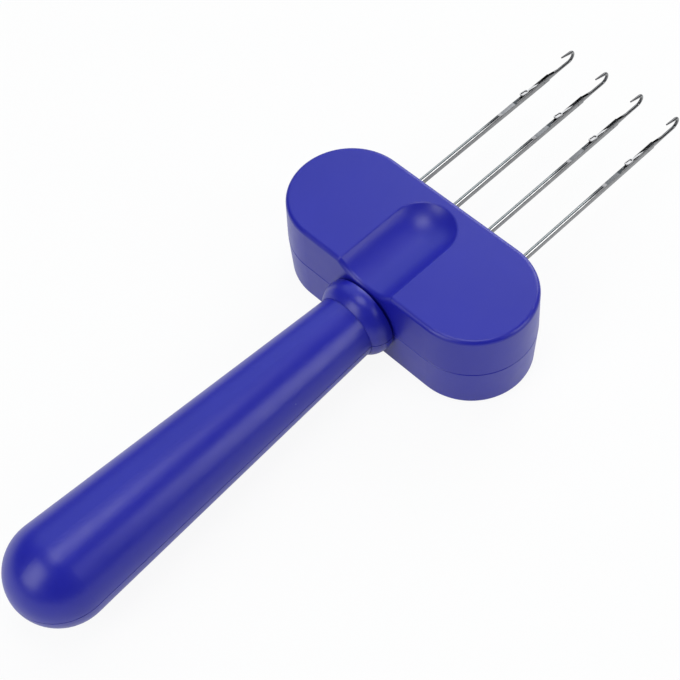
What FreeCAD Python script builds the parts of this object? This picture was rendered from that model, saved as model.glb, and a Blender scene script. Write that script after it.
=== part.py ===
import FreeCAD, Part
import math
import os
import Sketcher

# A hand tool for knitting i-cord: four latch needles in a two-part moulded head on a hollow handle.
# Frame: millimetres, +Z up, +X along the needles towards the hooks, +Y across the needles.
# The origin is the centre of the head's flat underside, which the tool rests on.

# Driving dimensions: alias, value, meaning.
DIMENSIONS = [
    ("head_length", 80.5, "head across the needles, at the seam"),
    ("head_width", 35.7, "head along the needles, at the seam"),
    ("upper_height", 14.2, "upper shell, seam to top face"),
    ("lower_height", 14.2, "lower shell, underside to seam"),
    ("draft_angle", 1.9, "slope of the head's side walls, degrees"),
    ("head_edge_radius", 1.3, "rounding of the head's top and bottom rims"),
    ("head_wall", 2.2, "wall of the head shells"),
    ("seam_chamfer", 0.2, "bevel along the head's seam"),
    ("recess_width", 18.6, "thumb recess across its mouth"),
    ("recess_depth", 3.4, "thumb recess below the top face"),
    ("recess_end", 4.8, "centre of the recess's round end, ahead of the head's centre"),
    ("recess_edge_radius", 0.8, "rounding of the recess's edge"),
    ("land_height", 0.6, "raised ring on the rear wall that the collar seats on"),
    ("land_inset", 1.9, "how far that ring stays inside the collar's edge"),
    ("collar_length", 6.0, "collar along the handle"),
    ("collar_rear_radius", 9.4, "collar beside the handle"),
    ("collar_front_radius", 11.2, "collar beside the head"),
    ("collar_bulge_radius", 6.1, "arc of the collar's outside"),
    ("neck_radius", 7.0, "handle's neck inside the collar"),
    ("neck_gap", 0.08, "clearance around the neck and its flange"),
    ("flange_side", 16.5, "square flange that the head holds"),
    ("flange_thickness", 2.4, "flange along the neck"),
    ("saddle_width", 25.0, "block in each head shell around the neck"),
    ("saddle_height", 10.2, "the same block, from the seam"),
    ("saddle_front_wall", 1.6, "saddle ahead of the flange"),
    ("ball_centre", 121.9, "centre of the ball end, behind the head's centre"),
    ("ball_radius", 13.75, "ball end of the handle"),
    ("grip_neck_radius", 9.25, "handle's cone beside the collar"),
    ("handle_wall", 2.4, "wall of the handle shells"),
    ("seam_groove_width", 0.24, "line along the seam of the handle and the collar"),
    ("seam_groove_depth", 0.14, "depth of that line"),
    ("peg_radius", 1.5, "locating pegs between the handle shells"),
    ("peg_height", 2.4, "pegs above the seam"),
    ("peg_gap", 0.05, "clearance around a peg"),
    ("peg_boss_radius", 3.0, "bosses that carry the pegs"),
    ("first_peg", 42.0, "first peg behind the head's centre"),
    ("peg_spacing", 36.0, "distance from peg to peg"),
    ("peg_count", 3, "pegs along the handle"),
    ("screw_x", 7.5, "screws ahead of and behind the head's centre"),
    ("screw_y", 29.0, "screws beside the head's centre"),
    ("screw_radius", 1.3, "screw shank"),
    ("screw_length", 19.0, "screw under its head"),
    ("screw_head_radius", 2.7, "screw head"),
    ("screw_head_height", 1.8, "screw head"),
    ("screw_gap", 0.15, "clearance around the screw in the lower shell"),
    ("screw_pilot_gap", 0.02, "clearance around the screw in the upper shell"),
    ("screw_sink", 3.2, "seat of the screw head above the underside"),
    ("screw_boss_radius", 4.4, "bosses around the screws"),
    ("cross_width", 0.7, "cross recess in the screw head"),
    ("cross_length", 2.9, "cross recess in the screw head"),
    ("cross_depth", 1.1, "cross recess in the screw head"),
    ("needle_pitch", 13.0, "needle to needle"),
    ("needle_count", 4, "needles in the head"),
    ("needle_rise", 0.29, "middle of the needles above the seam"),
    ("strip_width", 1.4, "flat strip of a needle, across it"),
    ("strip_height", 2.53, "the same strip, from rounded edge to rounded edge"),
    ("strip_gap", 0.03, "clearance around the strip in the head"),
    ("butt_x", 6.0, "tab at a needle's rear end, ahead of the head's centre"),
    ("butt_width", 2.6, "that tab along the needle"),
    ("butt_length", 6.0, "that tab below the needle's middle"),
    ("rib_back", 2.5, "ribs that hold the tabs, behind the tabs' middles"),
    ("rib_front", 4.5, "the same ribs, ahead of them"),
    ("rib_width", 50.0, "the same ribs across the needles"),
    ("pivot_x", 77.35, "latch pin, ahead of the head's centre"),
    ("waist_start", 20.0, "lowered stretch of the strip, behind the latch pin"),
    ("waist_end", 11.4, "end of the lowered stretch, behind the latch pin"),
    ("waist_depth", 0.35, "lowered stretch below the strip's upper edge"),
    ("waist_slope", 1.6, "length of each slope of the lowered stretch"),
    ("cheek_front", 2.3, "strip ends, ahead of the latch pin"),
    ("taper_step", 0.05, "taper begins this much inside the strip's outline"),
    ("stem_start", 7.0, "stem of the hook begins, ahead of the latch pin"),
    ("stem_drop", 0.45, "stem below the needle's middle"),
    ("hook_wire_radius", 0.48, "wire of the hook"),
    ("hook_front", 13.95, "outermost point of the hook, ahead of the latch pin"),
    ("hook_bend_radius", 1.76, "bend of the hook, at the wire's centre"),
    ("beak_length", 4.1, "straight end of the hook"),
    ("beak_rise", 12.4, "slope of that end, degrees"),
    ("beak_tip_radius", 0.24, "rounded tip of the hook"),
    ("slot_width", 0.6, "slot that the latch swings in"),
    ("slot_back", 10.2, "slot behind the latch pin"),
    ("slot_front", 4.8, "slot ahead of the latch pin"),
    ("slot_floor", 0.62, "slot floor below the needle's middle"),
    ("pin_radius", 0.3, "latch pin"),
    ("pin_proud", 0.04, "pin's ends past the strip"),
    ("pin_gap", 0.03, "clearance of the latch on its pin"),
    ("latch_length", 10.5, "latch from pin to tip"),
    ("latch_thickness", 0.5, "latch across the slot"),
    ("latch_root_height", 0.8, "arm of the latch beside the pin"),
    ("latch_tip_height", 0.5, "arm of the latch at the spoon"),
    ("latch_eye_radius", 0.55, "end of the latch around the pin"),
    ("latch_gap", 0.05, "clearance of the latch where it lies on the needle"),
    ("spoon_length", 3.3, "spoon end of the latch"),
    ("spoon_width", 1.3, "spoon end of the latch"),
    ("spoon_thickness", 0.5, "spoon end of the latch"),
    ("spoon_drop", 0.15, "spoon's back below the latch's centre line"),
    ("spoon_edge_radius", 0.2, "rounding of the spoon's back"),
    ("cup_margin", 0.27, "rim around the spoon's cup"),
    ("cup_depth", 0.25, "cup that covers the tip of the hook"),
]

# Lengths that only have to be long enough to pass right through what they cut.
REACH = 200.0
OVERLAP = 1.0

# Where an edge is looked at, as shares of its length.
EDGE_SHARES = (0.1, 0.5, 0.9)

doc = FreeCAD.newDocument("icord_maker")
sheet = doc.addObject("Spreadsheet::Sheet", "dims")
for row, (alias, size, meaning) in enumerate(DIMENSIONS, 1):
    sheet.set(f"A{row}", meaning)
    sheet.set(f"B{row}", str(size))
    sheet.setAlias(f"B{row}", alias)
doc.recompute()


def named(text):
    """Turn {alias} marks into references to the sheet."""
    return text.replace("{", "dims.").replace("}", "")


def number(text):
    """The present value of a formula with {alias} marks."""
    return float(sheet.evalExpression(named(text)))


def bind(thing, **formulas):
    """Bind properties to formulas; a double underscore in a name stands for a dot."""
    for path, formula in formulas.items():
        thing.setExpression(path.replace("__", "."), named(formula))


# Formulas that several pieces share.
SEAM = "{lower_height}"
TOP = "({lower_height} + {upper_height})"
HALF_STRAIGHT = "(({head_length} - {head_width}) / 2)"
RECESS_RADIUS = "(({recess_width}^2 / 4 + {recess_depth}^2) / (2 * {recess_depth}))"
RECESS_AXIS = f"({TOP} - {{recess_depth}} + {RECESS_RADIUS})"
NECK_FRONT = "(-{head_width} / 2 + {head_wall} + {neck_gap} + {flange_thickness})"
LAND_FACE = "(-{head_width} / 2 - {land_height})"
COLLAR_BACK = f"({LAND_FACE} - {{collar_length}})"
NEEDLE_AXIS = "({lower_height} + {needle_rise})"
STRIP_ROOM = "({strip_width} / 2 + {strip_gap})"
CONE_LENGTH = f"({{ball_centre}} + {COLLAR_BACK})"
CONE_ANGLE = (
    f"(asin({{ball_radius}} / sqrt({{grip_neck_radius}}^2 + {CONE_LENGTH}^2))"
    f" - atan({{grip_neck_radius}} / {CONE_LENGTH}))"
)
BEND_CENTRE_X = "({pivot_x} + {hook_front} - {hook_wire_radius} - {hook_bend_radius})"
BEND_CENTRE_Z = f"({NEEDLE_AXIS} - {{stem_drop}} + {{hook_bend_radius}})"
LATCH_REST = (
    "asin(({strip_height} / 2 + {latch_gap} + {spoon_drop}) / ({latch_length} - {spoon_length}))"
)

# Turns from an object's own Z axis, or a ring's own XYZ axes, to the tool's.
ALONG_X = FreeCAD.Rotation(FreeCAD.Vector(0, 1, 0), 90)
ALONG_Y = FreeCAD.Rotation(FreeCAD.Vector(1, 0, 0), -90)
STRIP_TURN = FreeCAD.Rotation(
    FreeCAD.Vector(0, 1, 0), FreeCAD.Vector(0, 0, 1), FreeCAD.Vector(1, 0, 0), "ZXY"
)
TAPER_TURN = FreeCAD.Rotation(
    FreeCAD.Vector(0, 0, 1), FreeCAD.Vector(0, -1, 0), FreeCAD.Vector(1, 0, 0), "ZXY"
)
WAIST_TURN = FreeCAD.Rotation(
    FreeCAD.Vector(1, 0, 0), FreeCAD.Vector(0, 0, 1), FreeCAD.Vector(0, -1, 0), "ZXY"
)
HOOK_TURN = FreeCAD.Rotation(
    FreeCAD.Vector(0, 0, -1), FreeCAD.Vector(1, 0, 0), FreeCAD.Vector(0, -1, 0), "ZXY"
)


def primitive(kind, name, sizes, at=("0", "0", "0"), turn=None):
    """One basic solid, its sizes and place bound to the sheet."""
    solid = doc.addObject("Part::" + kind, name)
    if turn is not None:
        solid.Placement = FreeCAD.Placement(FreeCAD.Vector(), turn)
    bind(solid, **sizes)
    bind(solid, Placement__Base__x=at[0], Placement__Base__y=at[1], Placement__Base__z=at[2])
    return solid


def cylinder(name, radius, height, at, turn=None):
    return primitive("Cylinder", name, {"Radius": radius, "Height": height}, at, turn)


def cone(name, radius_start, radius_end, height, at, turn=None):
    sizes = {"Radius1": radius_start, "Radius2": radius_end, "Height": height}
    return primitive("Cone", name, sizes, at, turn)


def box(name, low, high):
    """A box between two corners given as formulas."""
    sizes = {
        "Length": f"{high[0]} - ({low[0]})",
        "Width": f"{high[1]} - ({low[1]})",
        "Height": f"{high[2]} - ({low[2]})",
    }
    return primitive("Box", name, sizes, low)


def ring_part(name, ring_radius, wire_radius, angle, at, turn):
    sizes = {"Radius1": ring_radius, "Radius2": wire_radius, "Angle3": angle}
    return primitive("Torus", name, sizes, at, turn)


def fuse(name, shapes):
    joined = doc.addObject("Part::MultiFuse", name)
    joined.Shapes = shapes
    joined.Refine = True
    return joined


def cut(name, base, tools):
    result = doc.addObject("Part::Cut", name)
    result.Base = base
    result.Tool = tools[0] if len(tools) == 1 else fuse(name + "_tools", tools)
    result.Refine = True
    return result


def common(name, shapes):
    shared = doc.addObject("Part::MultiCommon", name)
    shared.Shapes = shapes
    shared.Refine = True
    return shared


def plane(body, role):
    return next(o for o in body.Origin.OriginFeatures if o.Role == role)


def sketch_on(body, name, role, offset="0", spin=0, shift="0"):
    """An empty sketch on one of the body's own planes, moved along its normal and its X axis."""
    sketch = body.newObject("Sketcher::SketchObject", name)
    sketch.AttachmentSupport = [(plane(body, role), "")]
    sketch.MapMode = "FlatFace"
    sketch.AttachmentOffset = FreeCAD.Placement(
        FreeCAD.Vector(), FreeCAD.Rotation(FreeCAD.Vector(0, 0, 1), spin)
    )
    bind(sketch, AttachmentOffset__Base__z=offset, AttachmentOffset__Base__x=shift)
    return sketch


def constrain(sketch, name, formula, *terms):
    """A named size in a sketch, bound to a formula."""
    index = sketch.addConstraint(Sketcher.Constraint(*terms, number(formula)))
    sketch.renameConstraint(index, name)
    sketch.setExpression("Constraints." + name, named(formula))


def settle(sketch, name, axis, formula, geometry, end):
    """Hold a sketch point at a signed distance from the sketch's origin along one axis."""
    size = number(formula)
    if abs(size) < 1e-9:
        other_axis = -2 if axis == "X" else -1
        sketch.addConstraint(Sketcher.Constraint("PointOnObject", geometry, end, other_axis))
    elif size > 0:
        constrain(sketch, name, formula, "Distance" + axis, -1, 1, geometry, end)
    else:
        constrain(sketch, name, f"-({formula})", "Distance" + axis, geometry, end, -1, 1)


def meet(sketch, *pairs):
    """Join curve ends: each pair is two (geometry, end) places."""
    for first, second in pairs:
        sketch.addConstraint(Sketcher.Constraint("Coincident", *first, *second))


def polygon(body, name, role, corners, **where):
    """A closed outline of straight sides through corners given as formulas."""
    sketch = sketch_on(body, name, role, **where)
    places = [FreeCAD.Vector(number(x), number(y), 0) for x, y in corners]
    for index, start in enumerate(places):
        sketch.addGeometry(Part.LineSegment(start, places[(index + 1) % len(places)]))
    for index in range(len(places)):
        meet(sketch, ((index, 2), ((index + 1) % len(places), 1)))
    for index, (x, y) in enumerate(corners):
        settle(sketch, f"corner_{index}_x", "X", x, index, 1)
        settle(sketch, f"corner_{index}_y", "Y", y, index, 1)
    return sketch


def stadium(body, name, length, width, **where):
    """A long round-ended outline, along the sketch's Y axis."""
    sketch = sketch_on(body, name, "XY_Plane", **where)
    radius = number(width) / 2
    half = (number(length) - number(width)) / 2
    point = FreeCAD.Vector
    up = point(0, 0, 1)
    sketch.addGeometry(Part.LineSegment(point(radius, -half, 0), point(radius, half, 0)))
    sketch.addGeometry(Part.ArcOfCircle(Part.Circle(point(0, half, 0), up, radius), 0, math.pi))
    sketch.addGeometry(Part.LineSegment(point(-radius, half, 0), point(-radius, -half, 0)))
    sketch.addGeometry(
        Part.ArcOfCircle(Part.Circle(point(0, -half, 0), up, radius), math.pi, 2 * math.pi)
    )
    for first, second in ((0, 1), (1, 2), (2, 3), (3, 0)):
        sketch.addConstraint(Sketcher.Constraint("Tangent", first, 2, second, 1))
    sketch.addConstraint(Sketcher.Constraint("Vertical", 0))
    sketch.addConstraint(Sketcher.Constraint("Vertical", 2))
    sketch.addConstraint(Sketcher.Constraint("Symmetric", 1, 3, 3, 3, -1, 1))
    constrain(sketch, "end_radius", f"({width}) / 2", "Radius", 1)
    constrain(sketch, "straight", f"({length}) - ({width})", "DistanceY", 3, 3, 1, 3)
    return sketch


def circle(body, name, role, radius, **where):
    sketch = sketch_on(body, name, role, **where)
    outline = Part.Circle(FreeCAD.Vector(), FreeCAD.Vector(0, 0, 1), number(radius))
    sketch.addGeometry(outline)
    sketch.addConstraint(Sketcher.Constraint("Coincident", 0, 3, -1, 1))
    constrain(sketch, "circle_radius", radius, "Radius", 0)
    return sketch


def feature(body, kind, name, **values):
    """A feature of a body; values that are texts are formulas."""
    made = body.newObject("PartDesign::" + kind, name)
    for key, entry in values.items():
        if isinstance(entry, str):
            bind(made, **{key: entry})
        else:
            setattr(made, key, entry)
    return made


def revolve(body, kind, name, sketch):
    """A full turn about the sketch's horizontal axis."""
    return feature(body, kind, name, Profile=sketch, ReferenceAxis=(sketch, ["H_Axis"]), Angle=360)


def new_body(name, at=("0", "0", "0"), turn=FreeCAD.Rotation()):
    body = doc.addObject("PartDesign::Body", name)
    body.Placement = FreeCAD.Placement(FreeCAD.Vector(), turn)
    bind(body, Placement__Base__x=at[0], Placement__Base__y=at[1], Placement__Base__z=at[2])
    return body


def edges_where(solid, test):
    """Names of the edges whose sampled points all pass a test."""
    names = []
    for index, edge in enumerate(solid.Shape.Edges, 1):
        span = edge.LastParameter - edge.FirstParameter
        samples = [edge.valueAt(edge.FirstParameter + span * share) for share in EDGE_SHARES]
        if test(samples):
            names.append(f"Edge{index}")
    if not names:
        raise RuntimeError(f"{solid.Name} has no edge to work on")
    return names


def depth_inside_wall(point):
    """How far a point lies inside the head's sloping side wall."""
    slope = math.tan(math.radians(number("{draft_angle}")))
    outer = number("{head_width} / 2") - slope * abs(point.z - number(SEAM))
    return outer - math.hypot(point.x, max(abs(point.y) - number(HALF_STRAIGHT), 0))


def on_wall(samples):
    return all(abs(depth_inside_wall(point)) < 0.05 for point in samples)


def is_seam_edge(samples):
    return on_wall(samples) and all(abs(point.z - number(SEAM)) < 0.01 for point in samples)


def is_rim_edge(samples):
    return on_wall(samples) and all(abs(point.z - number(SEAM)) > 1 for point in samples)


def is_recess_edge(samples):
    """True for an edge in the top face, half the recess's width from its middle line."""
    for point in samples:
        aside = math.hypot(max(point.x - number("{recess_end}"), 0), point.y)
        if abs(point.z - number(TOP)) > 0.01 or abs(aside - number("{recess_width} / 2")) > 0.05:
            return False
    return True


def tapered_block(body, inset, height, downward):
    """A stadium block from the seam, its sides sloping inwards as they leave the seam."""
    sketch = stadium(
        body,
        body.Name + "_outline",
        f"{{head_length}} - 2 * ({inset})",
        f"{{head_width}} - 2 * ({inset})",
        offset=SEAM,
    )
    return feature(
        body,
        "Pad",
        body.Name + "_pad",
        Profile=sketch,
        Length=height,
        TaperAngle="-{draft_angle}",
        Reversed=downward,
    )


def thumb_groove(body, radius):
    """A trough along X that ends in a quarter ball, cut about the recess's axis."""
    sketch = sketch_on(body, body.Name + "_trough", "XZ_Plane", shift="{recess_end}")
    bind(sketch, AttachmentOffset__Base__y=RECESS_AXIS)
    size = number(radius)
    reach = number("{head_width}")
    point = FreeCAD.Vector
    end = Part.Circle(point(), point(0, 0, 1), size)
    sketch.addGeometry(Part.ArcOfCircle(end, 0, math.pi / 2))
    sketch.addGeometry(Part.LineSegment(point(0, size, 0), point(-reach, size, 0)))
    sketch.addGeometry(Part.LineSegment(point(-reach, size, 0), point(-reach, 0, 0)))
    sketch.addGeometry(Part.LineSegment(point(-reach, 0, 0), point(size, 0, 0)))
    sketch.addConstraint(Sketcher.Constraint("Tangent", 0, 2, 1, 1))
    meet(sketch, ((1, 2), (2, 1)), ((2, 2), (3, 1)), ((3, 2), (0, 1)), ((0, 3), (-1, 1)))
    sketch.addConstraint(Sketcher.Constraint("Horizontal", 1))
    sketch.addConstraint(Sketcher.Constraint("Vertical", 2))
    sketch.addConstraint(Sketcher.Constraint("PointOnObject", 2, 2, -1))
    sketch.addConstraint(Sketcher.Constraint("PointOnObject", 0, 1, -1))
    constrain(sketch, "trough_radius", radius, "Radius", 0)
    constrain(sketch, "trough_reach", "{head_width}", "DistanceX", 2, 2, -1, 1)
    return revolve(body, "Groove", body.Name + "_groove", sketch)


def head_blank(name, height, downward):
    """One head shell's outside: sloping walls, rounded rim, bevelled seam, thumb recess on top."""
    body = new_body(name)
    block = tapered_block(body, "0", height, downward)
    if not downward:
        block = thumb_groove(body, RECESS_RADIUS)
    doc.recompute()
    block = feature(body, "Fillet", name + "_rim", Base=(block, edges_where(block, is_rim_edge)),
                    Radius="{head_edge_radius}")
    doc.recompute()
    if not downward:
        edges = edges_where(block, is_recess_edge)
        block = feature(body, "Fillet", name + "_recess_edge", Base=(block, edges),
                        Radius="{recess_edge_radius}")
        doc.recompute()
    feature(body, "Chamfer", name + "_seam", Base=(block, edges_where(block, is_seam_edge)),
            Size="{seam_chamfer}")
    return body


def head_cavity(name, height, downward):
    """The hollow of one head shell; the upper one keeps its wall under the thumb recess."""
    body = new_body(name)
    tapered_block(body, "{head_wall}", f"{height} - {{head_wall}}", downward)
    if not downward:
        thumb_groove(body, f"{RECESS_RADIUS} + {{head_wall}}")
    return body


def needle_places():
    """Each needle's number and its place across the head."""
    count = round(number("{needle_count}"))
    for index in range(count):
        yield index + 1, f"{{needle_pitch}} * ({(count - 1) / 2} - {index})"


def screw_places():
    for side_x in (1, -1):
        for side_y in (1, -1):
            yield f"{side_x} * {{screw_x}}", f"{side_y} * {{screw_y}}"


def half_space(name, above):
    """Everything above or below the seam."""
    low, high = (SEAM, f"{REACH}") if above else (f"-{REACH}", SEAM)
    return box(name, (f"-{REACH}", f"-{REACH}", low), (f"{REACH}", f"{REACH}", high))


def head_shell(name, height, upper):
    """A hollow head shell with its saddle, rib, bosses and the places cut for what it holds."""
    side = half_space(name + "_side", upper)
    land = cylinder(name + "_land", "{collar_front_radius} - {land_inset}", "{head_wall}",
                    (LAND_FACE, "0", SEAM), ALONG_X)
    blank = common(name + "_outside",
                   [fuse(name + "_with_land", [head_blank(name + "_blank", height, not upper), land]),
                    side])
    low, high = (SEAM, TOP) if upper else ("0", SEAM)
    saddle_top = f"{SEAM} + {{saddle_height}}" if upper else SEAM
    blocks = [
        box(name + "_saddle",
            ("-{head_width} / 2", "-{saddle_width} / 2", low),
            (f"{NECK_FRONT} + {{neck_gap}} + {{saddle_front_wall}}", "{saddle_width} / 2", saddle_top)),
        box(name + "_rib",
            ("{butt_x} - {rib_back}", "-{rib_width} / 2", low),
            ("{butt_x} + {rib_front}", "{rib_width} / 2", high)),
    ]
    for number_of, (x, y) in enumerate(screw_places(), 1):
        blocks.append(cylinder(f"{name}_boss_{number_of}", "{screw_boss_radius}",
                               f"{high} - ({low})", (x, y, low)))
    hollow = cut(name + "_hollow", head_cavity(name + "_cavity", height, not upper), blocks)
    holes = [
        hollow,
        cylinder(name + "_neck_hole", "{neck_radius} + {neck_gap}",
                 f"{NECK_FRONT} + {{neck_gap}} - {LAND_FACE} + {OVERLAP}",
                 (f"{LAND_FACE} - {OVERLAP}", "0", SEAM), ALONG_X),
        box(name + "_flange_slot",
            ("-{head_width} / 2 + {head_wall}", "-{flange_side} / 2 - {neck_gap}",
             f"{SEAM} - {{flange_side}} / 2 - {{neck_gap}}"),
            (f"{NECK_FRONT} + {{neck_gap}}", "{flange_side} / 2 + {neck_gap}",
             f"{SEAM} + {{flange_side}} / 2 + {{neck_gap}}")),
    ]
    for index, y in needle_places():
        holes.append(strip(f"{name}_groove_{index}", f"2 * {STRIP_ROOM}",
                           "{strip_height} + 2 * {strip_gap}",
                           "{butt_x} - {butt_width} / 2 - {strip_gap}",
                           f"{{head_width}} / 2 + {OVERLAP}", y))
        if not upper:
            holes.append(butt_pocket(f"{name}_butt_{index}", y))
    for index, (x, y) in enumerate(screw_places(), 1):
        if upper:
            depth = "({screw_length} + {screw_sink} - {lower_height} + {screw_gap})"
            holes.append(cylinder(f"{name}_pilot_{index}", "{screw_radius} + {screw_pilot_gap}",
                                  f"{depth} + {OVERLAP}", (x, y, f"{SEAM} - {OVERLAP}")))
        else:
            holes.append(cylinder(f"{name}_clearance_{index}", "{screw_radius} + {screw_gap}",
                                  f"{SEAM} + {OVERLAP}", (x, y, "0")))
            holes.append(cylinder(f"{name}_counterbore_{index}", "{screw_head_radius} + {screw_gap}",
                                  f"{{screw_sink}} + {OVERLAP}", (x, y, f"-{OVERLAP}")))
    return cut(name, blank, holes)


def butt_pocket(name, y):
    """Room in the lower shell for the tab of one needle."""
    reach = "({butt_width} / 2 + {strip_gap})"
    return box(name,
               (f"{{butt_x}} - {reach}", f"{y} - {STRIP_ROOM}",
                f"{NEEDLE_AXIS} - {{butt_length}} - {{strip_gap}}"),
               (f"{{butt_x}} + {reach}", f"{y} + {STRIP_ROOM}", f"{SEAM} + {OVERLAP}"))


def bulb(name, inset, end):
    """The handle's ball and cone as one turned solid, drawn inwards by an inset."""
    body = new_body(name, ("0", "0", SEAM))
    sketch = sketch_on(body, name + "_profile", "XZ_Plane")
    ball = f"({{ball_radius}} - ({inset}))"
    end_radius = f"({ball} / cos({CONE_ANGLE}) - ({{ball_centre}} + ({end})) * tan({CONE_ANGLE}))"
    lean = math.radians(number(CONE_ANGLE))
    radius = number(ball)
    point = FreeCAD.Vector
    centre = point(-number("{ball_centre}"), 0, 0)
    touch = centre + point(math.sin(lean), math.cos(lean), 0) * radius
    tip = centre - point(radius, 0, 0)
    shoulder = point(number(end), number(end_radius), 0)
    foot = point(shoulder.x, 0, 0)
    arc = Part.ArcOfCircle(Part.Circle(centre, point(0, 0, 1), radius), math.pi / 2 - lean, math.pi)
    sketch.addGeometry(arc)
    for start, stop in ((touch, shoulder), (shoulder, foot), (foot, tip)):
        sketch.addGeometry(Part.LineSegment(start, stop))
    sketch.addConstraint(Sketcher.Constraint("Tangent", 0, 1, 1, 1))
    meet(sketch, ((1, 2), (2, 1)), ((2, 2), (3, 1)), ((3, 2), (0, 2)))
    sketch.addConstraint(Sketcher.Constraint("Vertical", 2))
    sketch.addConstraint(Sketcher.Constraint("PointOnObject", 0, 3, -1))
    sketch.addConstraint(Sketcher.Constraint("PointOnObject", 2, 2, -1))
    sketch.addConstraint(Sketcher.Constraint("PointOnObject", 0, 2, -1))
    constrain(sketch, "ball", ball, "Radius", 0)
    settle(sketch, "centre", "X", "-{ball_centre}", 0, 3)
    settle(sketch, "shoulder_x", "X", end, 1, 2)
    settle(sketch, "shoulder_radius", "Y", end_radius, 1, 2)
    revolve(body, "Revolution", name + "_turned", sketch)
    return body


def seam_slab(name, back, front):
    """A thin slab at the seam's height, for cutting a shallow line."""
    half = "{seam_groove_width} / 2"
    return box(name, (back, "-{ball_radius} - 1", f"{SEAM} - {half}"),
               (front, "{ball_radius} + 1", f"{SEAM} + {half}"))


def peg_places():
    for index in range(round(number("{peg_count}"))):
        yield index + 1, f"-({{first_peg}} + {{peg_spacing}} * {index})"


def handle_shell(name, upper):
    """Half of the hollow handle with its neck and flange; the lower half carries the pegs."""
    outside = fuse(name + "_outside", [
        bulb(name + "_bulb", "0", COLLAR_BACK),
        cylinder(name + "_neck", "{neck_radius}", f"{NECK_FRONT} - {COLLAR_BACK} + {{handle_wall}}",
                 (f"{COLLAR_BACK} - {{handle_wall}}", "0", SEAM), ALONG_X),
        box(name + "_flange",
            (f"{NECK_FRONT} - {{flange_thickness}}", "-{flange_side} / 2",
             f"{SEAM} - {{flange_side}} / 2"),
            (NECK_FRONT, "{flange_side} / 2", f"{SEAM} + {{flange_side}} / 2")),
    ])
    half = common(name + "_half", [outside, half_space(name + "_side", upper)])
    low = SEAM if upper else f"{SEAM} - {{ball_radius}}"
    bosses = [
        cylinder(f"{name}_boss_{index}", "{peg_boss_radius}", "{ball_radius}", (x, "0", low))
        for index, x in peg_places()
    ]
    hollow = cut(name + "_hollow",
                 bulb(name + "_inside", "{handle_wall}", f"{COLLAR_BACK} - {{handle_wall}}"), bosses)
    line = cut(name + "_line",
               seam_slab(name + "_slab", "-{ball_centre} - {ball_radius} - 1", COLLAR_BACK),
               [bulb(name + "_core", "{seam_groove_depth}", f"{COLLAR_BACK} + {OVERLAP}")])
    if upper:
        sockets = [
            cylinder(f"{name}_socket_{index}", "{peg_radius} + {peg_gap}",
                     f"{{peg_height}} + {{peg_gap}} + {OVERLAP}", (x, "0", f"{SEAM} - {OVERLAP}"))
            for index, x in peg_places()
        ]
        return cut(name, half, [hollow, line] + sockets)
    pegs = [
        cylinder(f"{name}_peg_{index}", "{peg_radius}", f"{{peg_height}} + {OVERLAP}",
                 (x, "0", f"{SEAM} - {OVERLAP}"))
        for index, x in peg_places()
    ]
    return fuse(name, [cut(name + "_shell", half, [hollow, line])] + pegs)


def turned_collar(name, inset):
    """The collar's ring: a bore, two flat ends and an outside that bulges in one arc."""
    body = new_body(name, ("0", "0", SEAM))
    sketch = sketch_on(body, name + "_profile", "XZ_Plane")
    bore = "({neck_radius} + {neck_gap})"
    rear, front = f"({{collar_rear_radius}} - {inset})", f"({{collar_front_radius}} - {inset})"
    point = FreeCAD.Vector
    low_rear = point(number(COLLAR_BACK), number(bore), 0)
    high_rear = point(number(COLLAR_BACK), number(rear), 0)
    high_front = point(number(LAND_FACE), number(front), 0)
    low_front = point(number(LAND_FACE), number(bore), 0)
    chord = high_front - high_rear
    arc_radius = number("{collar_bulge_radius}")
    rise = arc_radius - math.sqrt(arc_radius**2 - (chord.Length / 2) ** 2)
    crown = (high_rear + high_front) / 2 + point(-chord.y, chord.x, 0).normalize() * rise
    sketch.addGeometry(Part.LineSegment(low_rear, high_rear))
    sketch.addGeometry(Part.Arc(high_front, crown, high_rear))
    sketch.addGeometry(Part.LineSegment(high_front, low_front))
    sketch.addGeometry(Part.LineSegment(low_front, low_rear))
    meet(sketch, ((0, 2), (1, 2)), ((1, 1), (2, 1)), ((2, 2), (3, 1)), ((3, 2), (0, 1)))
    for vertical in (0, 2):
        sketch.addConstraint(Sketcher.Constraint("Vertical", vertical))
    sketch.addConstraint(Sketcher.Constraint("Horizontal", 3))
    settle(sketch, "back", "X", COLLAR_BACK, 0, 1)
    settle(sketch, "front", "X", LAND_FACE, 2, 2)
    settle(sketch, "bore", "Y", bore, 0, 1)
    settle(sketch, "rear_radius", "Y", rear, 0, 2)
    settle(sketch, "front_radius", "Y", front, 2, 1)
    constrain(sketch, "bulge", "{collar_bulge_radius}", "Radius", 1)
    revolve(body, "Revolution", name + "_turned", sketch)
    return body


def neck_collar():
    """The rounded ring between handle and head, with a mould line at the seam's height."""
    line = cut("collar_line", seam_slab("collar_slab", COLLAR_BACK, LAND_FACE),
               [turned_collar("collar_core", "{seam_groove_depth}"),
                cylinder("collar_core_bore", "({neck_radius} + {collar_rear_radius}) / 2",
                         "{collar_length}", (COLLAR_BACK, "0", SEAM), ALONG_X)])
    return cut("neck_collar", turned_collar("collar_ring", "0"), [line])


def strip(name, width, height, start, end, y):
    """A flat strip with rounded edges, on edge along X at the needles' height."""
    body = new_body(name, (start, y, NEEDLE_AXIS), STRIP_TURN)
    outline = stadium(body, name + "_outline", height, width)
    feature(body, "Pad", name + "_pad", Profile=outline, Length=f"{end} - ({start})")
    return body


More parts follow.
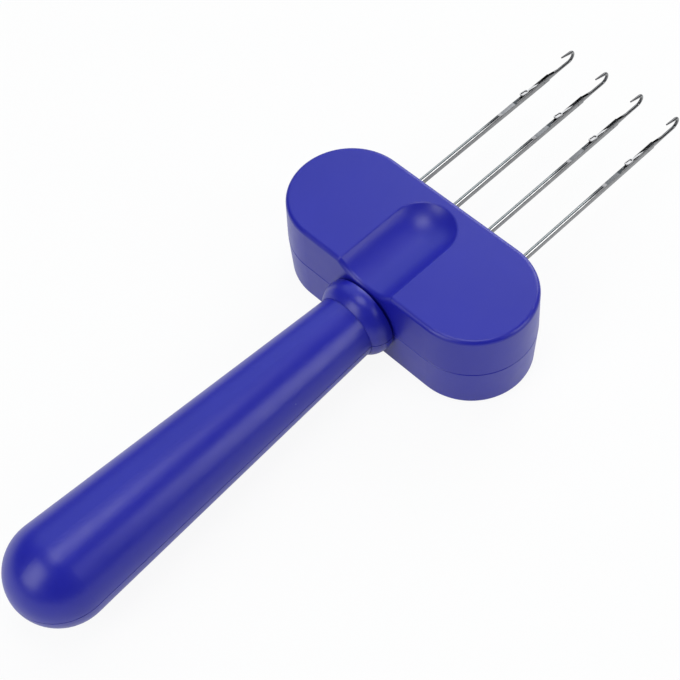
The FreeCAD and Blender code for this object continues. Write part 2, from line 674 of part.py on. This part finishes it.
def needle(index, y):
    """One needle: a strip with a tab, a lowered stretch and a slot, then a thin stem and hook."""
    name = f"needle_{index}"
    rear = "({butt_x} - {butt_width} / 2)"
    cheeks_end = "({pivot_x} + {cheek_front})"
    stem = "({pivot_x} + {stem_start})"
    beak_x = f"({BEND_CENTRE_X} + {{hook_bend_radius}} * sin({{beak_rise}}))"
    beak_z = f"({BEND_CENTRE_Z} + {{hook_bend_radius}} * cos({{beak_rise}}))"
    beak_turn = FreeCAD.Rotation(FreeCAD.Vector(0, -1, 0), 90 - number("{beak_rise}"))
    stem_axis = f"({NEEDLE_AXIS} - {{stem_drop}})"
    steel = [
        strip(name + "_strip", "{strip_width}", "{strip_height}", rear, cheeks_end, y),
        box(name + "_butt", (rear, f"{y} - {{strip_width}} / 2", f"{NEEDLE_AXIS} - {{butt_length}}"),
            (f"{rear} + {{butt_width}}", f"{y} + {{strip_width}} / 2", NEEDLE_AXIS)),
        needle_taper(name, y, cheeks_end, stem, stem_axis),
        cylinder(name + "_stem", "{hook_wire_radius}", f"{BEND_CENTRE_X} - {stem}",
                 (stem, y, stem_axis), ALONG_X),
        ring_part(name + "_hook", "{hook_bend_radius}", "{hook_wire_radius}",
                  "180 - {beak_rise}", (BEND_CENTRE_X, y, BEND_CENTRE_Z), HOOK_TURN),
        cone(name + "_beak", "{hook_wire_radius}", "{beak_tip_radius}", "{beak_length}",
             (beak_x, y, beak_z), beak_turn),
        primitive("Sphere", name + "_tip", {"Radius": "{beak_tip_radius}"},
                  (f"{beak_x} - {{beak_length}} * cos({{beak_rise}})", y,
                   f"{beak_z} + {{beak_length}} * sin({{beak_rise}})")),
    ]
    bind(doc.getObject(name + "_beak"), Placement__Rotation__Angle="90 - {beak_rise}")
    slot = box(name + "_slot",
               ("{pivot_x} - {slot_back}", f"{y} - {{slot_width}} / 2",
                f"{NEEDLE_AXIS} - {{slot_floor}}"),
               ("{pivot_x} + {slot_front}", f"{y} + {{slot_width}} / 2",
                f"{NEEDLE_AXIS} + {{strip_height}}"))
    hole = cylinder(name + "_pin_hole", "{pin_radius}", "2 * {strip_width}",
                    ("{pivot_x}", f"{y} - {{strip_width}}", NEEDLE_AXIS), ALONG_Y)
    return cut(name, fuse(name + "_steel", steel), [needle_waist(name, y), slot, hole])


def needle_waist(name, y):
    """What is taken off the strip's upper edge behind the latch: a dip with sloping ends."""
    start, end = "({pivot_x} - {waist_start})", "({pivot_x} - {waist_end})"
    return primitive("Wedge", name + "_waist", {
        "Xmin": f"{start} + {{waist_slope}}", "Xmax": f"{end} - {{waist_slope}}",
        "X2min": f"{start} - {{waist_slope}}", "X2max": f"{end} + {{waist_slope}}",
        "Ymin": "-{waist_depth}", "Ymax": "{waist_depth}",
        "Zmin": "-{strip_width}", "Zmax": "{strip_width}",
        "Z2min": "-{strip_width}", "Z2max": "{strip_width}",
    }, ("0", y, f"{NEEDLE_AXIS} + {{strip_height}} / 2"), WAIST_TURN)


def needle_taper(name, y, start, end, end_height):
    """The run from the strip down to the thin stem, which lies lower."""
    wide = primitive("Ellipse", name + "_wide_ring",
                     {"MajorRadius": "{strip_height} / 2 - {taper_step}",
                      "MinorRadius": "{strip_width} / 2 - {taper_step}"},
                     (start, y, NEEDLE_AXIS), TAPER_TURN)
    thin = primitive("Circle", name + "_thin_ring", {"Radius": "{hook_wire_radius}"},
                     (end, y, end_height), TAPER_TURN)
    taper = doc.addObject("Part::Loft", name + "_taper")
    taper.Sections = [wide, thin]
    taper.Solid = True
    taper.Ruled = True
    return taper


def latch_pin(index, y):
    half = "({strip_width} / 2 + {pin_proud})"
    return cylinder(f"latch_pin_{index}", "{pin_radius}", f"2 * {half}",
                    ("{pivot_x}", f"{y} - {half}", NEEDLE_AXIS), ALONG_Y)


def latch(index, y):
    """One latch, lying open: an eye on the pin, a thin arm and a spoon with a cup."""
    name = f"latch_{index}"
    body = doc.addObject("PartDesign::Body", name)
    body.Placement = FreeCAD.Placement(
        FreeCAD.Vector(), FreeCAD.Rotation(FreeCAD.Vector(0, 1, 0), number(LATCH_REST))
    )
    bind(body, Placement__Base__x="{pivot_x}", Placement__Base__y=y,
         Placement__Base__z=NEEDLE_AXIS, Placement__Rotation__Angle=LATCH_REST)
    eye = circle(body, name + "_eye_outline", "XZ_Plane", "{latch_eye_radius}")
    feature(body, "Pad", name + "_eye", Profile=eye, Length="{latch_thickness}", Midplane=True)
    arm_end = "(-{latch_length} + {spoon_length} / 2)"
    arm = polygon(body, name + "_arm_outline", "XZ_Plane", [
        ("0", "-{latch_root_height} / 2"),
        ("0", "{latch_root_height} / 2"),
        (arm_end, "{latch_tip_height} / 2"),
        (arm_end, "-{latch_tip_height} / 2"),
    ])
    feature(body, "Pad", name + "_arm", Profile=arm, Length="{latch_thickness}", Midplane=True)
    spoon = stadium(body, name + "_spoon_outline", "{spoon_length}", "{spoon_width}",
                    offset="-{spoon_drop}", spin=90, shift=arm_end)
    back = feature(body, "Pad", name + "_spoon", Profile=spoon, Length="{spoon_thickness}")
    doc.recompute()
    edges = edges_where(back, is_spoon_back_edge)
    feature(body, "Fillet", name + "_spoon_back", Base=(back, edges), Radius="{spoon_edge_radius}")
    cup = stadium(body, name + "_cup_outline", "{spoon_length} - 2 * {cup_margin}",
                  "{spoon_width} - 2 * {cup_margin}",
                  offset="{spoon_thickness} - {spoon_drop}", spin=90, shift=arm_end)
    feature(body, "Pocket", name + "_cup", Profile=cup, Length="{cup_depth}")
    bore = circle(body, name + "_bore_outline", "XZ_Plane", "{pin_radius} + {pin_gap}")
    feature(body, "Pocket", name + "_bore", Profile=bore, Length="2 * {latch_thickness}",
            Midplane=True)
    return body


def is_spoon_back_edge(samples):
    """True for the lower rim of a latch's spoon, in the latch's own frame."""
    half_width = number("{spoon_width} / 2")
    reach = number("({spoon_length} - {spoon_width}) / 2")
    centre = number("-{latch_length} + {spoon_length} / 2")
    for point in samples:
        along = max(abs(point.x - centre) - reach, 0)
        if abs(math.hypot(along, point.y) - half_width) > 0.01:
            return False
        if abs(point.z + number("{spoon_drop}")) > 0.01:
            return False
    return True


def screw(index, x, y):
    """One self-tapping screw, head down: a pan head with a cross, a shank and a point."""
    name = f"screw_{index}"
    point_length = "(2 * {screw_radius})"
    head_low = "({screw_sink} - {screw_head_height})"
    crown = "({screw_head_height} / 3)"
    solid = fuse(name + "_turned", [
        cone(name + "_crown", "{screw_head_radius} * 0.8", "{screw_head_radius}", crown,
             (x, y, head_low)),
        cylinder(name + "_head", "{screw_head_radius}", f"{{screw_head_height}} - {crown}",
                 (x, y, f"{head_low} + {crown}")),
        cylinder(name + "_shank", "{screw_radius}", f"{{screw_length}} - {point_length}",
                 (x, y, "{screw_sink}")),
        cone(name + "_point", "{screw_radius}", "{screw_radius} / 5", point_length,
             (x, y, f"{{screw_sink}} + {{screw_length}} - {point_length}")),
    ])
    slots = []
    for tag, along_x, along_y in (("a", "{cross_length}", "{cross_width}"),
                                  ("b", "{cross_width}", "{cross_length}")):
        slots.append(box(f"{name}_cross_{tag}",
                         (f"{x} - {along_x} / 2", f"{y} - {along_y} / 2", f"{head_low} - {OVERLAP}"),
                         (f"{x} + {along_x} / 2", f"{y} + {along_y} / 2",
                          f"{head_low} + {{cross_depth}}")))
    return cut(name, solid, slots)


def head_screws():
    """The four screws as one group of separate solids."""
    group = doc.addObject("Part::Compound", "head_screws")
    group.Links = [screw(index, x, y) for index, (x, y) in enumerate(screw_places(), 1)]
    return group


nodes = [
    head_shell("head_upper_shell", "{upper_height}", True),
    head_shell("head_lower_shell", "{lower_height}", False),
    neck_collar(),
    handle_shell("handle_upper_shell", True),
    handle_shell("handle_lower_shell", False),
    head_screws(),
]
for index, y in needle_places():
    nodes += [needle(index, y), latch(index, y), latch_pin(index, y)]
doc.recompute()

for thing in doc.Objects:
    if "Invalid" in thing.State or "Error" in thing.State:
        raise RuntimeError(f"{thing.Name} failed: {thing.State}")
for node in nodes:
    if node.Shape.isNull() or not node.Shape.isValid() or not node.Shape.Solids:
        raise RuntimeError(f"{node.Label} has no valid solid")

os.makedirs("parts", exist_ok=True)
for node in nodes:
    node.Shape.exportStep(f"parts/{node.Label}.step")
    box_of = node.Shape.BoundBox
    print(f"{node.Label}: {len(node.Shape.Solids)} solid(s), {node.Shape.Volume:.1f} mm3, "
          f"x {box_of.XMin:.2f} to {box_of.XMax:.2f}, z {box_of.ZMin:.2f} to {box_of.ZMax:.2f}")
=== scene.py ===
"""Looks of the i-cord maker: blue moulded plastic, steel needles, a white table and soft studio light."""
import math

import bpy
from mathutils import Matrix, Vector

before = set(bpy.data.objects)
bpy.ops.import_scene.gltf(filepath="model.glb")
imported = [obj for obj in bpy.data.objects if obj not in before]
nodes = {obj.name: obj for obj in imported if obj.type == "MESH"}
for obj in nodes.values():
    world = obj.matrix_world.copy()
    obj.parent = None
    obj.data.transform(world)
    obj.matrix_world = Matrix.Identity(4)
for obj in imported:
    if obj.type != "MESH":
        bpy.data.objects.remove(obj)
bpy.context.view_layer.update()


# Node building

class Shader:
    """A node tree with short calls for the nodes that the materials here use."""

    def __init__(self, tree):
        self.tree = tree
        self.tree.nodes.clear()

    def node(self, kind, **settings):
        made = self.tree.nodes.new(kind)
        for key, value in settings.items():
            setattr(made, key, value)
        return made

    def plug(self, value, socket):
        if isinstance(value, bpy.types.NodeSocket):
            self.tree.links.new(value, socket)
        else:
            socket.default_value = value

    def math(self, operation, a, b=0.0):
        made = self.node("ShaderNodeMath", operation=operation)
        self.plug(a, made.inputs[0])
        self.plug(b, made.inputs[1])
        return made.outputs[0]

    def vector_math(self, operation, a, b=(0, 0, 0)):
        made = self.node("ShaderNodeVectorMath", operation=operation)
        self.plug(a, made.inputs[0])
        self.plug(b, made.inputs[1])
        return made.outputs["Value"] if operation == "DOT_PRODUCT" else made.outputs[0]

    def mix(self, factor, a, b, blend="MIX"):
        made = self.node("ShaderNodeMix", data_type="RGBA", blend_type=blend)
        self.plug(factor, made.inputs[0])
        self.plug(a, made.inputs[6])
        self.plug(b, made.inputs[7])
        return made.outputs[2]

    def mix_level(self, factor, a, b):
        """A plain number between a and b."""
        made = self.node("ShaderNodeMix", data_type="FLOAT")
        self.plug(factor, made.inputs[0])
        self.plug(a, made.inputs[2])
        self.plug(b, made.inputs[3])
        return made.outputs[0]

    def remap(self, value, low, high, to_low=0.0, to_high=1.0, smooth=False):
        made = self.node("ShaderNodeMapRange")
        made.interpolation_type = "SMOOTHSTEP" if smooth else "LINEAR"
        for entry, socket in zip((value, low, high, to_low, to_high), made.inputs):
            self.plug(entry, socket)
        return made.outputs[0]

    def place(self, stretch=(1, 1, 1)):
        """Coordinates in metres in the tool's own frame, stretched before a texture reads them."""
        source = self.node("ShaderNodeTexCoord").outputs["Object"]
        made = self.node("ShaderNodeMapping")
        self.plug(source, made.inputs["Vector"])
        made.inputs["Scale"].default_value = stretch
        return made.outputs[0]

    def axis(self, vector, letter):
        """One part of a vector."""
        made = self.node("ShaderNodeSeparateXYZ")
        self.plug(vector, made.inputs[0])
        return made.outputs[letter]

    def noise(self, vector, grain, detail=2.0, roughness=0.5):
        """Noise whose features are about grain metres across."""
        made = self.node("ShaderNodeTexNoise")
        self.plug(vector, made.inputs["Vector"])
        made.inputs["Scale"].default_value = 1 / grain
        made.inputs["Detail"].default_value = detail
        made.inputs["Roughness"].default_value = roughness
        return made.outputs["Fac"]

    def cells(self, vector, spacing):
        """Voronoi cells about spacing metres apart: distance to the seed and a random colour."""
        made = self.node("ShaderNodeTexVoronoi")
        self.plug(vector, made.inputs["Vector"])
        made.inputs["Scale"].default_value = 1 / spacing
        return made.outputs["Distance"], made.outputs["Color"]

    def bump(self, height, depth, normal=None):
        """Height from 0 to 1 standing for depth metres."""
        made = self.node("ShaderNodeBump")
        made.inputs["Strength"].default_value = 1.0
        made.inputs["Distance"].default_value = depth
        self.plug(height, made.inputs["Height"])
        if normal is not None:
            self.plug(normal, made.inputs["Normal"])
        return made.outputs[0]


def material(name):
    made = bpy.data.materials.new(name)
    made.use_nodes = True
    shader = Shader(made.node_tree)
    surface = shader.node("ShaderNodeBsdfPrincipled")
    output = shader.node("ShaderNodeOutputMaterial")
    shader.tree.links.new(surface.outputs[0], output.inputs["Surface"])
    return made, shader, surface


# Plastic. Lengths are in metres.

BLUE = (0.0125, 0.0140, 0.380, 1)
BLUE_DEEP = (0.0110, 0.0125, 0.360, 1)
TONE_DRIFT = 0.030
PLASTIC_IOR = 1.5
SATIN_GRAIN = 0.0045
SATIN_ROUGHNESS = (0.30, 0.35)
MOULD_GRAIN, MOULD_GRAIN_HEIGHT = 0.00030, 0.0000110
MOULD_WAVE, MOULD_WAVE_HEIGHT = 0.006, 0.000020

# Dust specks: their sizes are shares of the spacing, and only cells above the rarity hold one.
DUST = (0.30, 0.32, 0.55, 1)
DUST_SPACING = 0.0085
DUST_SIZES = (0.012, 0.034)
DUST_RARITY = 0.72
DUST_STRENGTH = (0.2, 0.7)
DUST_ROUGHNESS = 0.3
DUST_HEIGHT = 0.00003


def blue_plastic():
    """Moulded semi-gloss plastic: faint tone drift, satin grain and a few specks of dust."""
    made, shader, surface = material("blue_plastic")
    place = shader.place()
    drift = shader.noise(place, TONE_DRIFT, 3.0)
    tone = shader.mix(shader.remap(drift, 0.35, 0.65), BLUE, BLUE_DEEP)

    far, colour = shader.cells(place, DUST_SPACING)
    pick = shader.node("ShaderNodeSeparateColor")
    shader.plug(colour, pick.inputs[0])
    chance, scale, weight = pick.outputs
    spot = shader.math("LESS_THAN", far, shader.remap(scale, 0.0, 1.0, *DUST_SIZES))
    speck = shader.math("MULTIPLY", spot, shader.math("GREATER_THAN", chance, DUST_RARITY))
    faint = shader.math("MULTIPLY", speck, shader.remap(weight, 0.0, 1.0, *DUST_STRENGTH))
    shader.plug(shader.mix(faint, tone, DUST), surface.inputs["Base Color"])

    satin = shader.noise(place, SATIN_GRAIN, 3.0)
    rough = shader.remap(satin, 0.3, 0.7, *SATIN_ROUGHNESS)
    dusty = shader.math("MULTIPLY", speck, DUST_ROUGHNESS)
    shader.plug(shader.math("ADD", rough, dusty), surface.inputs["Roughness"])
    surface.inputs["IOR"].default_value = PLASTIC_IOR

    normal = shader.bump(shader.noise(place, MOULD_GRAIN), MOULD_GRAIN_HEIGHT)
    normal = shader.bump(shader.noise(place, MOULD_WAVE), MOULD_WAVE_HEIGHT, normal)
    normal = shader.bump(speck, DUST_HEIGHT, normal)
    shader.plug(normal, surface.inputs["Normal"])
    return made


# Steel. Lengths are in metres.

DRAWN_STRETCH = 0.02
DRAWN_GRAIN, DRAWN_HEIGHT = 0.00012, 0.0000007
POLISH_GRAIN = 0.0022
POLISH_SPREAD = (0.8, 1.3)
WORN = (0.80, 0.80, 0.80, 1)
# Painted shade: faces whose normal turns sideways (along Y) between these shares take the darker side
# colour.
SIDE_SHADE_FACING = (0.55, 0.95)
# Painted shade: along X between these, the needle's top towards the hooks takes a dark colour in place of
# a dark reflection.
HOOK_SHADE_FROM, HOOK_SHADE_TO = 0.0495, 0.0545


def steel(name, edge, side_shade_colour, roughness, along, hook_end_shade_colour=None):
    """Drawn steel: fine lines along one direction, slightly uneven polish, and painted shade: faces turned
    sideways take the darker side colour in place of the darker reflection they show.

    Towards the hooks, where a dark colour is given for the hook end, it takes the place of the edge's as
    painted shade, a stand-in for the dark reflection there.
    """
    made, shader, surface = material(name)
    stretch = tuple(DRAWN_STRETCH if axis == along else 1.0 for axis in "XYZ")
    lines = shader.noise(shader.place(stretch), DRAWN_GRAIN, 3.0, 0.6)
    cloud = shader.noise(shader.place(), POLISH_GRAIN, 3.0)

    # Painted shade: the darker side colour on sideways-facing faces stands in for the darker reflection
    # they show.
    sideways = shader.axis(shader.node("ShaderNodeTexCoord").outputs["Normal"], "Y")
    side_shade_share = shader.remap(shader.math("ABSOLUTE", sideways), *SIDE_SHADE_FACING, smooth=True)
    tone = shader.mix(side_shade_share, edge, side_shade_colour)
    # Painted shade towards the hooks: a dark colour on the top in place of a dark reflection.
    if hook_end_shade_colour is not None:
        share = shader.remap(shader.axis(shader.place(), "X"), HOOK_SHADE_FROM, HOOK_SHADE_TO)
        tone = shader.mix(share, tone, shader.mix(side_shade_share, hook_end_shade_colour, side_shade_colour))
    worn = shader.mix(1.0, tone, WORN, blend="MULTIPLY")
    shader.plug(shader.mix(shader.remap(cloud, 0.35, 0.7), tone, worn), surface.inputs["Base Color"])

    surface.inputs["Metallic"].default_value = 1.0
    spread = [roughness * share for share in POLISH_SPREAD]
    shader.plug(shader.remap(cloud, 0.3, 0.7, *spread), surface.inputs["Roughness"])
    shader.plug(shader.bump(lines, DRAWN_HEIGHT), surface.inputs["Normal"])
    return made


plastic = blue_plastic()
# The second colour of each steel is painted shade, given to its sideways-facing faces.
needle_steel = steel("needle_steel", (0.56, 0.56, 0.56, 1), (0.26, 0.26, 0.265, 1), 0.13, "X",
                     # The last colour is painted shade: a dark top towards the hooks.
                     hook_end_shade_colour=(0.13, 0.13, 0.135, 1))
latch_steel = steel("latch_steel", (0.24, 0.24, 0.245, 1), (0.20, 0.20, 0.205, 1), 0.17, "X")
screw_steel = steel("screw_steel", (0.62, 0.62, 0.60, 1), (0.56, 0.56, 0.54, 1), 0.30, "Z")

for name, piece in nodes.items():
    if name.startswith("needle_"):
        skin = needle_steel
    elif name.startswith("latch_"):
        skin = latch_steel
    elif name == "head_screws":
        skin = screw_steel
    else:
        skin = plastic
    piece.data.materials.clear()
    piece.data.materials.append(skin)


# Floor. Its white is a share of plain white, so that the rest still takes the tool's shadow.

FLOOR_HALF = 40.0
FLOOR_DROP = 0.00002
FLOOR_PALE = (0.90, 0.90, 0.90, 1)
FLOOR_DEEP = (0.88, 0.88, 0.88, 1)
FLOOR_MOTTLE = 0.02
WHITE_SEEN = 0.92
WHITE_MIRRORED = 0.5


def floor():
    mesh = bpy.data.meshes.new("floor")
    corners = [(x * FLOOR_HALF, y * FLOOR_HALF, -FLOOR_DROP)
               for x, y in ((-1, -1), (1, -1), (1, 1), (-1, 1))]
    mesh.from_pydata(corners, [], [(0, 1, 2, 3)])
    made = bpy.data.objects.new("floor", mesh)
    bpy.context.scene.collection.objects.link(made)
    paint = bpy.data.materials.new("white_table")
    paint.use_nodes = True
    shader = Shader(paint.node_tree)
    table = shader.node("ShaderNodeBsdfDiffuse")
    mottle = shader.noise(shader.place(), FLOOR_MOTTLE, 3.0)
    shader.plug(shader.mix(mottle, FLOOR_DEEP, FLOOR_PALE), table.inputs["Color"])
    white = shader.node("ShaderNodeEmission")
    white.inputs["Strength"].default_value = 1.0
    path = shader.node("ShaderNodeLightPath")
    seen = shader.math("MULTIPLY", path.outputs["Is Glossy Ray"], WHITE_MIRRORED)
    for ray in ("Is Camera Ray", "Is Transmission Ray"):
        seen = shader.math("MAXIMUM", seen, shader.math("MULTIPLY", path.outputs[ray], WHITE_SEEN))
    blend = shader.node("ShaderNodeMixShader")
    shader.plug(seen, blend.inputs["Fac"])
    shader.tree.links.new(table.outputs[0], blend.inputs[1])
    shader.tree.links.new(white.outputs[0], blend.inputs[2])
    output = shader.node("ShaderNodeOutputMaterial")
    shader.tree.links.new(blend.outputs[0], output.inputs["Surface"])
    mesh.materials.append(paint)


floor()


# Light

def direction(azimuth, elevation):
    """Unit vector at an angle from +X towards +Y and an angle above the floor, in degrees."""
    turn, rise = math.radians(azimuth), math.radians(elevation)
    return Vector((math.cos(turn) * math.cos(rise), math.sin(turn) * math.cos(rise), math.sin(rise)))


# The room is dim and slightly cool, with one bright part given by
# azimuth, elevation, half width of the full level, half width at the edge and level.
ROOM_LEVEL = 0.14
ROOM_TINT = (0.88, 1.0, 1.06, 1)
BRIGHT_PART = (60, 43, 17, 34, 0.92)

# Soft boxes: name, azimuth, elevation, width, height, power.
SOFT_BOX_DISTANCE = 1.0
SOFT_BOXES = [
    ("overhead", 60, 89, 0.44, 0.44, 2.2),
    ("left", 173, 37, 0.52, 0.80, 3.9),
    ("right", -62, 30, 0.42, 0.66, 2.6),
    ("back", 15, 30, 0.70, 0.65, 4.6),
]


def room():
    world = bpy.data.worlds.new("room")
    world.use_nodes = True
    bpy.context.scene.world = world
    shader = Shader(world.node_tree)
    look = shader.vector_math("NORMALIZE", shader.node("ShaderNodeTexCoord").outputs["Generated"])
    azimuth, elevation, inner, outer, bright = BRIGHT_PART
    facing = shader.vector_math("DOT_PRODUCT", look, direction(azimuth, elevation))
    share = shader.remap(facing, math.cos(math.radians(outer)), math.cos(math.radians(inner)), smooth=True)
    background = shader.node("ShaderNodeBackground")
    background.inputs["Color"].default_value = ROOM_TINT
    shader.plug(shader.mix_level(share, ROOM_LEVEL, bright), background.inputs["Strength"])
    output = shader.node("ShaderNodeOutputWorld")
    shader.tree.links.new(background.outputs[0], output.inputs["Surface"])


def soft_box(name, azimuth, elevation, width, height, power):
    lamp = bpy.data.lights.new(name, "AREA")
    lamp.shape = "RECTANGLE"
    lamp.size = width
    lamp.size_y = height
    lamp.energy = power
    made = bpy.data.objects.new(name, lamp)
    bpy.context.scene.collection.objects.link(made)
    aim = direction(azimuth, elevation)
    made.location = aim * SOFT_BOX_DISTANCE
    made.rotation_euler = aim.to_track_quat("Z", "Y").to_euler()


room()
for box in SOFT_BOXES:
    soft_box(*box)


# Camera. It stands where it looks along AZIMUTH and down by ELEVATION at AIM, in metres and degrees.

FRAME_PIXELS = 680
FOCAL_PIXELS = 1413.028
SENSOR_WIDTH = 36.0
AZIMUTH, ELEVATION, ROLL = 48.740, 57.063, -4.558
DISTANCE = 0.367874
AIM = Vector((-0.031158, -0.009697, 0.01499))
OFF_CENTRE_PIXELS = (14.5, 21.34)
NEAR, FAR = 0.01, 100.0


def camera():
    lens = bpy.data.cameras.new("camera")
    lens.sensor_width = SENSOR_WIDTH
    lens.lens = FOCAL_PIXELS / FRAME_PIXELS * SENSOR_WIDTH
    lens.shift_x = -OFF_CENTRE_PIXELS[0] / FRAME_PIXELS
    lens.shift_y = OFF_CENTRE_PIXELS[1] / FRAME_PIXELS
    lens.clip_start, lens.clip_end = NEAR, FAR
    made = bpy.data.objects.new("camera", lens)
    bpy.context.scene.collection.objects.link(made)
    look = direction(AZIMUTH, -ELEVATION)
    right = look.cross(Vector((0, 0, 1))).normalized()
    up = right.cross(look)
    turn = math.radians(ROLL)
    tilted_right = right * math.cos(turn) + up * math.sin(turn)
    tilted_up = up * math.cos(turn) - right * math.sin(turn)
    axes = Matrix((tilted_right, tilted_up, -look)).transposed()
    made.matrix_world = Matrix.Translation(AIM - look * DISTANCE) @ axes.to_4x4()
    bpy.context.scene.camera = made


camera()

bpy.context.scene.view_settings.view_transform = "Standard"
